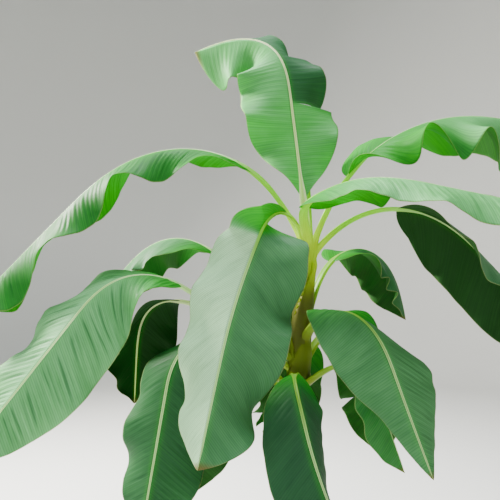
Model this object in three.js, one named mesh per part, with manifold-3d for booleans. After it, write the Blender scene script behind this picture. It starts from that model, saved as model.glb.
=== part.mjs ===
// Banana plant, in millimetres, with +Z up.
// One stem of rolled leaf bases stands on a flat cut at the ground, z = 0, and carries nineteen
// leaves. Each leaf is a channelled stalk and a long blade of two wings that hang from a midrib.
// A blade that bends over is made in two lengths, inner and outer, that meet at the bend.
import * as THREE from "three";
import { mergeVertices } from "three/addons/utils/BufferGeometryUtils.js";
import Module from "manifold-3d";

const wasm = await Module();
wasm.setup();

// Stem sizes
const STEM_HEIGHT = 1765;
const STEM_LEAN = 100; // how far the top stands to the right of the foot
const STEM_LEAN_EARLY = 0.35; // share of the lean that grows evenly with height
const STEM_FOOT_RADIUS = 84;
const STEM_TOP_RADIUS = 40;
const STEM_FLARE = 26; // how much wider the foot spreads
const STEM_FLARE_HEIGHT = 110;
const STEM_SIDES = 24;
const STEM_RINGS = 18;
const SHEATH_EDGES = 3; // edges of rolled leaf bases around the stem
const SHEATH_RIDGE = 0.035; // how far an edge stands out, as a share of the radius
const SHEATH_TURN = 260; // height over which the edges shift by one radian of their wave

// Leaf sizes shared by all leaves
const CLEARANCE = 0.35; // gap left where a stalk meets the stem or another stalk
const HALF_GAP = 0.15; // half of the gap between a stalk and its blade, and at the bend
const BLADE_THICKNESS = 0.0102; // share of the blade's length
const STALK_FOOT_WIDTH = 27; // half widths of the stalk and of the midrib
const STALK_END_WIDTH = 19;
const RIB_BASE_WIDTH = 8.5;
const RIB_TIP_WIDTH = 3.5;
const RIB_SETTLE = 0.12; // share of the blade over which the stalk narrows to the midrib
const STALK_FLATNESS = 0.8; // height of the stalk's section against its width
const STALK_CHANNEL = 0.45; // depth of the channel along its upper side
const RIB_DEPTH = 0.9; // depth of the midrib under the blade against its half width
const WING_CURL = -20; // how far a wing turns down across its width, in degrees
const WAVE_HEIGHT = 6; // waves along the margin, in degrees of the wing's fold
const WAVE_COUNT = 4;
const WAVE_STEP_LEFT = 0.27; // share of a wave by which the waves shift from leaf to leaf
const WAVE_STEP_RIGHT = 0.46;
const ROLL_SETTLE = [0, 0.5]; // shares of the blade between which its roll settles
const VEINS_STRAIGHTEN = 0.15; // last share of the blade, where its side veins stop leaning
const VEINS_START = 0.05; // first share of the blade, over which they start to lean
const TIP_ROUNDING = 0.9;
const NORMAL_STEP = 0.004; // steps on the blade's surface from which its upward direction is found
const NORMAL_REACH = 0.05;
const WELD_DISTANCE = 1e-4;
const SPINE_STEPS = 160;
const STALK_SIDES = 8;
const STALK_RINGS = 7;
const BLADE_RINGS = 9;
const WING_STATIONS = [0, 0.09, 0.4, 0.72, 1]; // across one wing, from midrib to margin

const TAU = 2 * Math.PI;
const RADIANS = Math.PI / 180;

// What a leaf has unless it says otherwise. Headings are seen from above: 0 points right,
// 90 away, 180 left and 270 to the front. Folds and rolls are given at the blade's base,
// middle and tip, in degrees: a wing with a fold above zero is raised. The base's fold settles to
// the middle one between two shares of the blade. A wing's base has its length and its power, which
// is 0.5 for a round base and more for a narrow one. The tip has its start and its power. A notch in
// a margin has its place, its half length and its depth, all as shares. Waves have their height in
// degrees, their count and their start as a share of a wave. A slant is how far a wing's side veins
// lean towards the tip.
const PLAIN_LEAF = {
  offset: 0.6,
  swing: 0,
  swingFrom: 0,
  swingTo: 1,
  roll: [0, 0, 0],
  foldLeft: [10, -25, -40],
  foldRight: [10, -25, -40],
  settleLeft: [0, 0.3],
  settleRight: [0, 0.3],
  lateFrom: 0.5,
  lateTo: 1,
  startLeft: 0,
  startRight: 0,
  wideLeft: 1,
  wideRight: 1,
  notchLeft: [0.5, 0.1, 0],
  notchRight: [0.5, 0.1, 0],
  slantLeft: 0.25,
  slantRight: 0.25,
  baseLeft: [0.22, 0.5],
  baseRight: [0.22, 0.5],
  tip: [0.55, 1.7],
  lengths: 2,
  bendShare: 0.5,
};

const LEAVES = [
  {
    name: "top", height: 1762, heading: 118, offset: 0, stalk: 198, blade: 1400, width: 500, rise: 78,
    droop: -15, bendFrom: 0.48, bendTo: 0.98, swing: 45, swingFrom: 0.41, swingTo: 0.95,
    roll: [-24, -21, -60], foldLeft: [21, 5, -18], foldRight: [36, 1, -40], settleLeft: [0.01, 0.25],
    settleRight: [0.02, 0.3], lateFrom: 0.4, lateTo: 0.77, wideLeft: 1.04, wideRight: 0.89,
    notchLeft: [0.71, 0.09, 0.26], notchRight: [0.6, 0.13, 0.14], slantLeft: -0.07, slantRight: -0.11,
    baseLeft: [0.37, 1.5], baseRight: [0.31, 1.2], tip: [0.92, 2.5], waveLeft: [16, 4, -0.08],
    waveRight: [15, 4, 0.23], bendShare: 0.6,
  },
  {
    name: "left_arching", height: 1760, heading: 171, stalk: 420, blade: 1685, width: 500, rise: 66,
    droop: -48, bendFrom: -0.04, bendTo: 0.72, swing: 21, swingFrom: 0.17, swingTo: 0.58,
    roll: [-22, 1, 6], foldLeft: [19, -26, -36], foldRight: [-3, -14, -16], settleLeft: [0.01, 0.2],
    settleRight: [0.02, 0.34], wideLeft: 0.76, wideRight: 0.77, baseLeft: [0.25, 0.9],
    baseRight: [0.26, 0.51], tip: [0.91, 1.7], waveLeft: [19, 3.45, -0.22], waveRight: [23, 2.46, 0.49],
  },
  {
    name: "upper_right", height: 1760, heading: -9, stalk: 354, blade: 1560, width: 500, rise: 76,
    droop: -40, bendFrom: -0.15, bendTo: 0.97, swing: 9, roll: [-3, -5, 4], foldLeft: [53, -24, -31],
    foldRight: [30, -31, -62], settleLeft: [-0.01, 0.39], settleRight: [-0.02, 0.1], lateFrom: 0.24,
    lateTo: 0.65, wideLeft: 0.99, wideRight: 1.05, baseLeft: [0.24, 0.35], baseRight: [0.27, 0.78],
    waveLeft: [5, 3.63, 0.6], waveRight: [24, 5.56, 0.03],
  },
  {
    name: "front_right", height: 1760, heading: 251, stalk: 200, blade: 1420, width: 420,
    rise: 60, droop: -16, bendFrom: -0.1, bendTo: 0.52, swing: 82, swingFrom: 0.05, swingTo: 0.2,
    foldLeft: [-22, 10, -5], foldRight: [-22, -18, -20], settleLeft: [0.2, 0.26],
    settleRight: [0, 0.2], baseLeft: [0.3, 0.5], baseRight: [0.3, 0.5],
  },
  {
    name: "front_hanging", height: 1740, heading: 225, stalk: 119, blade: 1345, width: 520, rise: 74,
    droop: -61, bendFrom: -0.02, bendTo: 0.31, swing: 24, swingFrom: 0.27, swingTo: 0.77,
    roll: [-43, -34, -17], foldLeft: [24, 13, -24], foldRight: [87, -11, -41],
    settleLeft: [-0.09, 0.23], settleRight: [0.18, 0.24], lateFrom: 0.29, lateTo: 0.91, startLeft: 0.18,
    wideLeft: 1.01, wideRight: 0.89, slantLeft: -0.18, slantRight: -0.1, baseLeft: [0.16, 1],
    baseRight: [0.39, 2.22], tip: [0.68, 3], waveLeft: [-21, 2.94, 0.88], waveRight: [5, 4.92, 1.96],
    bendShare: 0.3,
  },
  {
    name: "right_arching", height: 1700, heading: 5, stalk: 500, blade: 1270, width: 500,
    rise: 58, droop: -47, bendFrom: -0.1, bendTo: 0.6,
    foldLeft: [-50, -65, -60], foldRight: [10, -18, -30],
  },
  {
    name: "right_middle", height: 1340, heading: 28, offset: 0.2, stalk: 370, blade: 710, width: 380,
    rise: 70, droop: -75, bendFrom: 0.1, bendTo: 0.95, baseLeft: [0.15, 0.5],
    foldLeft: [30, -30, -50], foldRight: [10, -40, -50],
  },
  {
    name: "right_low", height: 1300, heading: 305, stalk: 170, blade: 950, width: 460, rise: 53,
    droop: -69, bendFrom: -0.06, bendTo: 0.63, swing: 25, swingFrom: 0.07, swingTo: 0.97,
    roll: [-16, 35, 47], foldLeft: [25, -24, -16], foldRight: [11, -10, -52], settleLeft: [0, 0.14],
    settleRight: [-0.04, 0.26], lateFrom: 0.37, lateTo: 0.87, wideLeft: 1.05, wideRight: 0.99,
    slantLeft: 0.4, slantRight: -0.13, baseLeft: [0.25, 0.36], baseRight: [0.27, 0.62],
    tip: [0.48, 1.2], waveLeft: [-7, 1.79, 1.74], waveRight: [4, 3, 3.54], bendShare: 0.35,
  },
  {
    name: "front_low", height: 1090, heading: 260, offset: 0.2, stalk: 173, blade: 870, width: 380,
    rise: 28, droop: -64, bendFrom: -0.02, bendTo: 0.57, swing: 66, swingFrom: 0.06, swingTo: 0.95,
    roll: [7, 24, 28], foldLeft: [-35, -53, -55], foldRight: [0, -14, -20], wideLeft: 0.85,
    wideRight: 1.05, baseLeft: [0.26, 0.57], baseRight: [0.37, 0.93], tip: [0.56, 2],
    waveLeft: [1, 4, 2.16], waveRight: [1, 4, 3.72], bendShare: 0.35,
  },
  {
    name: "left_low", height: 1060, heading: 197, stalk: 380, blade: 1150, width: 500,
    rise: 41, droop: -80, bendFrom: 0.15, bendTo: 0.55, swing: 8, swingFrom: 0.25, swingTo: 0.6,
    roll: [-12, -52, -58], startLeft: 0.08, baseLeft: [0.3, 0.5], baseRight: [0.3, 0.5],
    foldLeft: [0, -24, -34], foldRight: [-10, -16, -30], wideRight: 0.85, bendShare: 0.35,
  },
  {
    name: "left_big", height: 1200, heading: 193, stalk: 640, blade: 1300, width: 500,
    rise: 33, droop: -52, bendFrom: 0.28, bendTo: 0.62, swing: 16, swingFrom: 0.25, swingTo: 0.6,
    roll: [-10, -28, -34], foldLeft: [10, -35, -40], foldRight: [0, -5, -15], bendShare: 0.4,
  },
  {
    name: "left_inner", height: 1150, heading: 172, stalk: 640, blade: 750, width: 420,
    rise: 34, droop: -80, bendFrom: 0.28, bendTo: 0.85, swing: -60, swingFrom: 0.35, swingTo: 0.85,
    foldLeft: [10, -25, -40], foldRight: [0, -25, -40],
  },
  {
    name: "left_back", height: 1330, heading: 158, stalk: 560, blade: 950, width: 420,
    rise: 42, droop: -45, bendFrom: 0.3, bendTo: 0.8,
    foldLeft: [0, -30, -40], foldRight: [0, -30, -40],
  },
  {
    name: "back_left", height: 1450, heading: 112, stalk: 330, blade: 1050, width: 460,
    rise: 58, droop: -72, bendFrom: 0, bendTo: 0.6,
  },
  {
    name: "back_right", height: 1180, heading: 42, stalk: 350, blade: 900, width: 420,
    rise: 48, droop: -72, bendFrom: 0, bendTo: 0.6,
  },
  {
    name: "back_low", height: 1120, heading: 92, stalk: 320, blade: 900, width: 420,
    rise: 40, droop: -75, bendFrom: 0, bendTo: 0.6,
  },
  {
    name: "back_high", height: 1750, heading: 90, stalk: 430, blade: 1150, width: 370,
    rise: 76, droop: -15, bendFrom: 0.1, bendTo: 1,
    foldLeft: [20, -20, -40], foldRight: [20, -20, -40],
  },
  {
    name: "back_left_low", height: 1000, heading: 140, stalk: 380, blade: 900, width: 420,
    rise: 42, droop: -75, bendFrom: 0.05, bendTo: 0.6,
  },
  {
    name: "small", height: 1080, heading: 330, stalk: 230, blade: 560, width: 260,
    rise: 35, droop: -70, bendFrom: 0.1, bendTo: 0.6, lengths: 1,
  },
].map((leaf, index) => ({
  ...PLAIN_LEAF,
  waveLeft: [WAVE_HEIGHT, WAVE_COUNT, WAVE_STEP_LEFT * index],
  waveRight: [WAVE_HEIGHT, WAVE_COUNT, WAVE_STEP_RIGHT * index],
  ...leaf,
}));

const FINISHES = {
  stem: { color: 0x8a7a48, roughness: 0.85, metalness: 0 },
  stalk: { color: 0xb4cf52, roughness: 0.5, metalness: 0 },
  blade: { color: 0x5a9a58, roughness: 0.45, metalness: 0 },
};

function smooth(share) {
  const held = Math.min(1, Math.max(0, share));
  return held * held * (3 - 2 * held);
}

function mix(from, to, share) {
  return from + (to - from) * share;
}

// Value along a blade that starts at the base value, settles to the middle one and ends at the tip's
function alongBlade(values, share, [settleFrom, settleTo], lateFrom, lateTo) {
  const [base, middle, tip] = values;
  const early = smooth((share - settleFrom) / (settleTo - settleFrom));
  const late = smooth((share - lateFrom) / (lateTo - lateFrom));
  return base + (middle - base) * early + (tip - middle) * late;
}

function stemCentre(height) {
  const share = height / STEM_HEIGHT;
  const lean = STEM_LEAN_EARLY * share + (1 - STEM_LEAN_EARLY) * share * share;
  return new THREE.Vector3(STEM_LEAN * lean, 0, height);
}

function stemRadius(height) {
  const share = Math.min(1, height / STEM_HEIGHT);
  return mix(STEM_FOOT_RADIUS, STEM_TOP_RADIUS, share) + STEM_FLARE * Math.exp(-height / STEM_FLARE_HEIGHT);
}

// The stem is a cylinder moved onto the leaning centre line, with the sheath edges as low ridges
function stemGeometry(extra) {
  const geometry = new THREE.CylinderGeometry(1, 1, 1, STEM_SIDES, STEM_RINGS);
  const place = geometry.attributes.position;
  for (let i = 0; i < place.count; i += 1) {
    const height = (place.getY(i) + 0.5) * STEM_HEIGHT;
    const reach = Math.hypot(place.getX(i), place.getZ(i));
    const angle = Math.atan2(-place.getZ(i), place.getX(i));
    const ridge = 1 + SHEATH_RIDGE * Math.sin(SHEATH_EDGES * angle + height / SHEATH_TURN);
    const radius = reach * (stemRadius(height) * ridge + extra);
    const centre = stemCentre(height);
    place.setXYZ(i, centre.x + radius * Math.cos(angle), centre.y + radius * Math.sin(angle), height);
  }
  return geometry;
}

// Points and directions along a leaf, from the foot of its stalk to the tip of its blade
function leafSpine(leaf) {
  const length = leaf.stalk + leaf.blade;
  const step = length / SPINE_STEPS;
  const foot = stemCentre(Math.min(leaf.height, STEM_HEIGHT));
  const outward = leaf.offset * stemRadius(leaf.height);
  foot.x += outward * Math.cos(leaf.heading * RADIANS);
  foot.y += outward * Math.sin(leaf.heading * RADIANS);
  foot.z = leaf.height;
  const stations = [];
  for (let i = 0; i <= SPINE_STEPS; i += 1) {
    const share = i / SPINE_STEPS;
    const bent = smooth((share - leaf.bendFrom) / (leaf.bendTo - leaf.bendFrom));
    const pitch = mix(leaf.rise, leaf.droop, bent) * RADIANS;
    const turned = smooth((share - leaf.swingFrom) / (leaf.swingTo - leaf.swingFrom));
    const yaw = (leaf.heading + leaf.swing * turned) * RADIANS;
    const along = new THREE.Vector3(
      Math.cos(pitch) * Math.cos(yaw),
      Math.cos(pitch) * Math.sin(yaw),
      Math.sin(pitch),
    );
    const side = new THREE.Vector3(-Math.sin(yaw), Math.cos(yaw), 0);
    const up = new THREE.Vector3().crossVectors(along, side);
    const point = foot.clone();
    if (i > 0) {
      const last = stations[i - 1];
      const mean = last.along.clone().add(along).multiplyScalar(step / 2);
      point.copy(last.point).add(mean);
    }
    stations.push({ point, along, side, up });
  }
  return stations;
}

// The point and directions at a distance along the leaf
function spineAt(leaf, distance) {
  const length = leaf.stalk + leaf.blade;
  const place = Math.min(1, Math.max(0, distance / length)) * SPINE_STEPS;
  const index = Math.min(SPINE_STEPS - 1, Math.floor(place));
  const share = place - index;
  const from = leaf.spine[index];
  const to = leaf.spine[index + 1];
  return {
    point: from.point.clone().lerp(to.point, share),
    along: from.along.clone().lerp(to.along, share).normalize(),
    side: from.side.clone().lerp(to.side, share).normalize(),
    up: from.up.clone().lerp(to.up, share).normalize(),
  };
}

function ribHalfWidth(share) {
  const narrowing = (STALK_END_WIDTH - RIB_BASE_WIDTH) * (1 - smooth(share / RIB_SETTLE));
  return mix(RIB_BASE_WIDTH, RIB_TIP_WIDTH, share) + narrowing;
}

// A wing's width at a share of the blade's length: a round base, even sides and a tapering tip
function wingWidth(leaf, share, left) {
  const start = left ? leaf.startLeft : leaf.startRight;
  const wide = left ? leaf.wideLeft : leaf.wideRight;
  const [notchAt, notchHalf, notchDepth] = left ? leaf.notchLeft : leaf.notchRight;
  const [baseShare, basePower] = left ? leaf.baseLeft : leaf.baseRight;
  const [tipShare, tipPower] = leaf.tip;
  const notch = 1 - notchDepth * Math.exp(-(((share - notchAt) / notchHalf) ** 2));
  const grown = Math.min(1, Math.max(0, (share - start) / (1 - start)));
  const open = Math.min(1, grown / baseShare);
  const base = (1 - (1 - open) ** 2) ** basePower;
  const spent = Math.max(0, (grown - tipShare) / (1 - tipShare));
  const tip = (1 - spent ** tipPower) ** TIP_ROUNDING;
  return Math.max(ribHalfWidth(share), (leaf.width / 2) * wide * notch * base * tip);
}

// A point of the blade's middle surface: share runs from base to tip, across from -1 at the
// right margin through 0 at the midrib to 1 at the left margin
function bladePoint(leaf, share, across) {
  const { point, along, side, up } = spineAt(leaf, leaf.stalk + share * leaf.blade);
  const roll = alongBlade(leaf.roll, share, ROLL_SETTLE, leaf.lateFrom, leaf.lateTo) * RADIANS;
  const level = side.clone().multiplyScalar(Math.cos(roll)).addScaledVector(up, Math.sin(roll));
  const normal = up.clone().multiplyScalar(Math.cos(roll)).addScaledVector(side, -Math.sin(roll));
  const left = across > 0;
  const out = Math.abs(across);
  const width = wingWidth(leaf, share, left);
  const folds = left ? leaf.foldLeft : leaf.foldRight;
  const settle = left ? leaf.settleLeft : leaf.settleRight;
  const [waveHeight, waveCount, waveStart] = left ? leaf.waveLeft : leaf.waveRight;
  const wave = waveHeight * out * Math.sin(TAU * (waveCount * share + waveStart));
  const fold = alongBlade(folds, share, settle, leaf.lateFrom, leaf.lateTo);
  const angle = (fold + (WING_CURL * out) / 2 + wave) * RADIANS;
  const reach = out * width;
  const slant = left ? leaf.slantLeft : leaf.slantRight;
  const leaning = Math.min(1, share / VEINS_START, (1 - share) / VEINS_STRAIGHTEN);
  const lean = slant * reach * leaning;
  return point
    .addScaledVector(along, lean)
    .addScaledVector(level, (left ? 1 : -1) * reach * Math.cos(angle))
    .addScaledVector(normal, reach * Math.sin(angle));
}

// The blade's upward direction at a point, from two short steps on its middle surface
function bladeNormal(leaf, share, across) {
  if (share === 0) {
    return spineAt(leaf, leaf.stalk).up;
  }
  const before = bladePoint(leaf, Math.max(0, share - NORMAL_STEP), across);
  const after = bladePoint(leaf, Math.min(1, share + NORMAL_STEP), across);
  const right = bladePoint(leaf, share, Math.max(-1, across - NORMAL_REACH));
  const left = bladePoint(leaf, share, Math.min(1, across + NORMAL_REACH));
  return after.sub(before).cross(left.sub(right)).normalize();
}

// One length of a blade: a flat box bent onto the blade's surface, thicker under the midrib.
// Its ends are drawn in by half a gap along the midrib, so that two lengths meet without touching.
function bladeGeometry(leaf, from, to) {
  const wing = WING_STATIONS.length - 1;
  const geometry = new THREE.BoxGeometry(1, 2, 1, BLADE_RINGS, 2 * wing, 1);
  const place = geometry.attributes.position;
  const thickness = BLADE_THICKNESS * leaf.blade;
  const fromEnd = spineAt(leaf, leaf.stalk + from * leaf.blade).along.multiplyScalar(HALF_GAP);
  const toEnd = spineAt(leaf, leaf.stalk + to * leaf.blade).along.multiplyScalar(-HALF_GAP);
  for (let i = 0; i < place.count; i += 1) {
    const share = mix(from, to, place.getX(i) + 0.5);
    const station = Math.round(place.getY(i) * wing);
    const out = WING_STATIONS[Math.abs(station)];
    const across = Math.sign(station) * out;
    const above = place.getZ(i) > 0;
    const ribbed = Math.max(0, 1 - out / WING_STATIONS[2]);
    const keel = RIB_DEPTH * ribHalfWidth(share) * ribbed ** 2;
    const lift = above ? thickness / 2 : -thickness / 2 - keel;
    const point = bladePoint(leaf, share, across).addScaledVector(bladeNormal(leaf, share, across), lift);
    if (place.getX(i) === -0.5) {
      point.add(fromEnd);
    } else if (place.getX(i) === 0.5) {
      point.add(toEnd);
    }
    place.setXYZ(i, point.x, point.y, point.z);
  }
  matchNearEnd(geometry);
  return geometry;
}

// Splits each square of the near end along its other diagonal, as the far end's squares are split,
// so that the two faces at a bend have one shape
function matchNearEnd(geometry) {
  const { array } = geometry.index;
  const nearEnd = geometry.groups[1];
  for (let i = nearEnd.start; i < nearEnd.start + nearEnd.count; i += 6) {
    const [a, b, d] = array.slice(i, i + 3);
    const c = array[i + 4];
    array.set([a, b, c, a, c, d], i);
  }
}

// A stalk is a cylinder bent along the leaf's line, flattened and with a channel on its upper side
function stalkGeometry(leaf, extra) {
  const geometry = new THREE.CylinderGeometry(1, 1, 1, STALK_SIDES, STALK_RINGS);
  const place = geometry.attributes.position;
  for (let i = 0; i < place.count; i += 1) {
    const share = place.getY(i) + 0.5;
    const { point, side, up } = spineAt(leaf, share * (leaf.stalk - HALF_GAP));
    const half = mix(STALK_FOOT_WIDTH, STALK_END_WIDTH, share);
    const reach = Math.hypot(place.getX(i), place.getZ(i));
    const angle = Math.atan2(-place.getZ(i), place.getX(i));
    const rise = Math.sin(angle);
    const channel = 1 - STALK_CHANNEL * Math.max(0, rise) ** 2;
    const out = reach * (half + extra) * Math.cos(angle);
    const over = reach * (half * STALK_FLATNESS * channel + extra) * rise;
    point.addScaledVector(side, out).addScaledVector(up, over);
    place.setXYZ(i, point.x, point.y, point.z);
  }
  return geometry;
}

function solidOf(geometry) {
  geometry.deleteAttribute("normal");
  geometry.deleteAttribute("uv");
  const merged = mergeVertices(geometry, WELD_DISTANCE);
  return new wasm.Manifold(
    new wasm.Mesh({
      numProp: 3,
      vertProperties: new Float32Array(merged.attributes.position.array),
      triVerts: new Uint32Array(merged.index.array),
    }),
  );
}

function geometryOf(solid) {
  const mesh = solid.getMesh();
  const geometry = new THREE.BufferGeometry();
  geometry.setAttribute("position", new THREE.BufferAttribute(mesh.vertProperties, 3));
  geometry.setIndex(new THREE.BufferAttribute(mesh.triVerts, 1));
  geometry.computeVertexNormals();
  return geometry;
}

const plant = new THREE.Group();

function addMesh(name, geometry, finish) {
  const mesh = new THREE.Mesh(geometry, new THREE.MeshStandardMaterial(FINISHES[finish]));
  mesh.name = name;
  plant.add(mesh);
}

addMesh("pseudostem", geometryOf(solidOf(stemGeometry(0))), "stem");

// Each stalk is trimmed to the stem and to the stalks before it, as leaf bases wrap one another
const trimming = [solidOf(stemGeometry(CLEARANCE))];
for (const leaf of LEAVES) {
  leaf.spine = leafSpine(leaf);
  let stalk = solidOf(stalkGeometry(leaf, 0));
  for (const neighbour of trimming) {
    stalk = stalk.subtract(neighbour);
  }
  trimming.push(solidOf(stalkGeometry(leaf, CLEARANCE)));
  addMesh(`${leaf.name}_stalk`, geometryOf(stalk), "stalk");
}

for (const leaf of LEAVES) {
  if (leaf.lengths === 1) {
    addMesh(`${leaf.name}_blade`, geometryOf(solidOf(bladeGeometry(leaf, 0, 1))), "blade");
  } else {
    const inner = bladeGeometry(leaf, 0, leaf.bendShare);
    const outer = bladeGeometry(leaf, leaf.bendShare, 1);
    addMesh(`${leaf.name}_blade_inner`, geometryOf(solidOf(inner)), "blade");
    addMesh(`${leaf.name}_blade_outer`, geometryOf(solidOf(outer)), "blade");
  }
}

export default plant;
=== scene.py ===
# %% [markdown]
# # A banana plant
#
# This lesson dresses a plain solid model of a banana plant. The solids give the place and the reach
# of every stalk and blade. Here each one is replaced by a finer mesh that follows the same rule:
# thin pleated wings, a channelled midrib, and leaf bases that wrap one another into a stem.

# %% Load the solid model
import math
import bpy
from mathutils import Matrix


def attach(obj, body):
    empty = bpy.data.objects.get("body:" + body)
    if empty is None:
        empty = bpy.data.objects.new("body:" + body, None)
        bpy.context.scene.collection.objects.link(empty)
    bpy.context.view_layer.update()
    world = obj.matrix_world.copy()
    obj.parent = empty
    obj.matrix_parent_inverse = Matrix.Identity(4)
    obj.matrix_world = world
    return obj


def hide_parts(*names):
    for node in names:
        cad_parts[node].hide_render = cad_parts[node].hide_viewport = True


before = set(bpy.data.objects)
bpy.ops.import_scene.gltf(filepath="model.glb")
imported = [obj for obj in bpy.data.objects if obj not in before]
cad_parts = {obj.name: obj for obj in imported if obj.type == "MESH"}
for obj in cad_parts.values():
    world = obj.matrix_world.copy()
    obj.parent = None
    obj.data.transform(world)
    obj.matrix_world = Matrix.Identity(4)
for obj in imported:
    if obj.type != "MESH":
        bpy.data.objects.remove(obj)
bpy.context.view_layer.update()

from types import SimpleNamespace

import bmesh
import bpy
import numpy as np
from mathutils import Vector

# %% [markdown]
# ## The viewpoint
#
# The camera stands three metres in front of the stem at a person's eye level and looks up a
# little, so the crown fills the picture and the furthest leaves run out of it on both sides.

# %% Camera
CAMERA_PLACE = (-0.184, -3.0, 1.55)
CAMERA_LENS = 44.64
SENSOR_WIDTH = 36
CAMERA_LIFT = 3.2  # degrees above level


def add_camera():
    camera = bpy.data.objects.new("camera", bpy.data.cameras.new("camera"))
    camera.data.lens = CAMERA_LENS
    camera.data.sensor_width = SENSOR_WIDTH
    camera.location = CAMERA_PLACE
    camera.rotation_euler = (math.radians(90 + CAMERA_LIFT), 0, 0)
    bpy.context.scene.collection.objects.link(camera)
    bpy.context.scene.camera = camera
    print("camera at", CAMERA_PLACE, "with a lens of", CAMERA_LENS, "mm")


add_camera()

# %% [markdown]
# ## The leaves as a rule
#
# A leaf is a line that leaves the stem at an angle, bends over under its own weight and may swing
# sideways. Two wings hang from that line. Every leaf is one row of named sizes, and what a row
# doesn't name comes from the plain leaf. Lengths are in metres and angles in degrees. Headings are
# seen from above: 0 points right, 90 away, 180 left and 270 to the front.
#
# Offset is how far out on the stem a leaf starts. Rise, droop and bend say how its line bends over,
# swing how it turns sideways, and roll how the blade tips over on its line. Fold is the angle at which
# a wing leaves the midrib, at its base, its middle and its tip, and settle and late are the shares of
# the blade over which it changes. Start is where a wing begins and wide its width. Notch is a bay in
# its margin, with its place, half length and depth, and slant is how far its veins lean to the tip.
# Base and tip say how its two ends round off, and a wave has its height, its count and its start.

# %% Sizes of the stem and what all leaves share
STEM_HEIGHT = 1.765
STEM_LEAN = 0.1
STEM_LEAN_EARLY = 0.35  # the share of the lean that grows evenly
STEM_FOOT_RADIUS = 0.084
STEM_TOP_RADIUS = 0.04
STEM_FLARE = 0.026
STEM_FLARE_HEIGHT = 0.11
STALK_FOOT_HALF_WIDTH = 0.027
STALK_END_HALF_WIDTH = 0.019
STALK_FLATNESS = 0.8
RIB_BASE_HALF_WIDTH = 0.0085
RIB_TIP_HALF_WIDTH = 0.0035
RIB_SETTLE = 0.12  # the share of the blade over which the stalk narrows to the midrib
WING_CURL = -20
WAVE_HEIGHT = 6
WAVE_COUNT = 4
WAVE_STEP_LEFT = 0.27  # each leaf's waves start a step further on
WAVE_STEP_RIGHT = 0.46
ROLL_SETTLE = (0, 0.5)
VEINS_STRAIGHTEN = 0.15
VEINS_START = 0.05
TIP_ROUNDING = 0.9
SPINE_STEPS = 480

PLAIN_LEAF = dict(
    offset=0.6, swing=0, swing_from=0, swing_to=1, roll=(0, 0, 0),
    fold_left=(10, -25, -40), fold_right=(10, -25, -40), settle_left=(0, 0.3), settle_right=(0, 0.3),
    late_from=0.5, late_to=1, start_left=0, start_right=0, wide_left=1, wide_right=1,
    notch_left=(0.5, 0.1, 0), notch_right=(0.5, 0.1, 0),
    slant_left=0.25, slant_right=0.25,
    base_left=(0.22, 0.5), base_right=(0.22, 0.5), tip=(0.55, 1.7), lengths=2,
)

# %% [markdown]
# The rows also hold what only the fine mesh shows. Bloom is how waxy each wing is, and also how much
# painted sheen lies on it, and young_bloom the share of both that the young base of a blade has. Age
# is how dark the blade is, from its age and from painted shade on blades that stand in shade, and
# young the stretch over which it turns from young to that. Shade is painted shade on one wing: it
# darkens the wing and takes wax and sheen from it. Pleat is how deep the pleats are, sweep how far the
# side veins run towards the tip, and flutter how loose the margin is. Cream marks a bleached stalk,
# and wear counts the tears that chance adds. A tear has its wing, its place along the blade, its
# depth as a share of the wing, how far its lips part, in degrees, and its gap.

# %% One row for each leaf
TEAR_LEAST = (0.2, 6, 0.006)  # depth, parting and gap of the smallest tear that chance adds
TEAR_MOST = (0.6, 12, 0.02)
TEAR_STRETCH = (0.25, 0.85)

# bloom also carries painted sheen, and age and shade carry painted shade
FINE_LEAF = dict(
    bloom_left=0.35, bloom_right=0.35, young_bloom=0.1, pleat=0.7, sweep_left=0.4, sweep_right=0.4,
    age=0.5, young=(0.02, 0.3), shade_left=0, shade_right=0, flutter=1, cream=0, tears=(), wear=0,
)

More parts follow.
